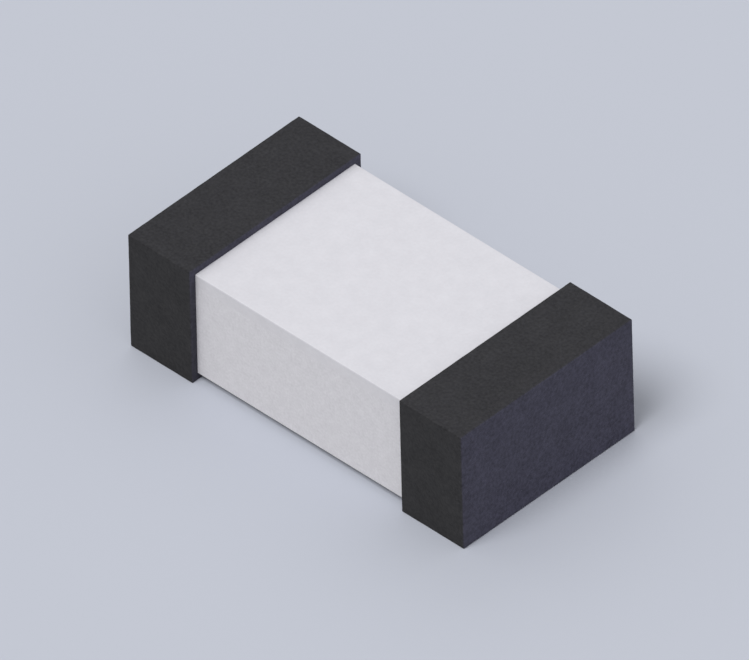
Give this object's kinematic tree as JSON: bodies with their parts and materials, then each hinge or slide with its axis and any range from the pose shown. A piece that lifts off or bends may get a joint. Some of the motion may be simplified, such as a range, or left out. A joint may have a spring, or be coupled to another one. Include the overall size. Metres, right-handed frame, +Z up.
{
  "type": "chip resistor",
  "caption": "Surface-mount chip resistor: a flat pale ceramic block with a dark metal cap that wraps five faces of each end.",
  "frame": {"origin": "middle of the chip, halfway along it, across it and up it", "axes": "+X along the chip to its right-hand cap, +Y across it, +Z up from the board through the overcoat"},
  "size_m": [0.0016, 0.0008, 0.0006],
  "materials": {
    "alumina": "matt, fine-grained, with cut edges",
    "resistive_film": "matt fired film",
    "glaze": "fired glass, semi-gloss",
    "overcoat": "smooth, semi-gloss",
    "printed_silver": "matt fired silver",
    "dipped_silver": "matt fired silver",
    "nickel": "matt plated",
    "tin": "matt plated, dark grey"
  },
  "bodies": {
    "root": {"ceramic_substrate": "alumina", "resistor_film": "resistive_film", "glass_glaze": "glaze", "overcoat": "overcoat", "top_electrode_left": "printed_silver", "bottom_electrode_left": "printed_silver", "silver_dip_left": "dipped_silver", "nickel_barrier_left": "nickel", "tin_coat_left": "tin", "top_electrode_right": "printed_silver", "bottom_electrode_right": "printed_silver", "silver_dip_right": "dipped_silver", "nickel_barrier_right": "nickel", "tin_coat_right": "tin"}
  },
  "joints": []
}
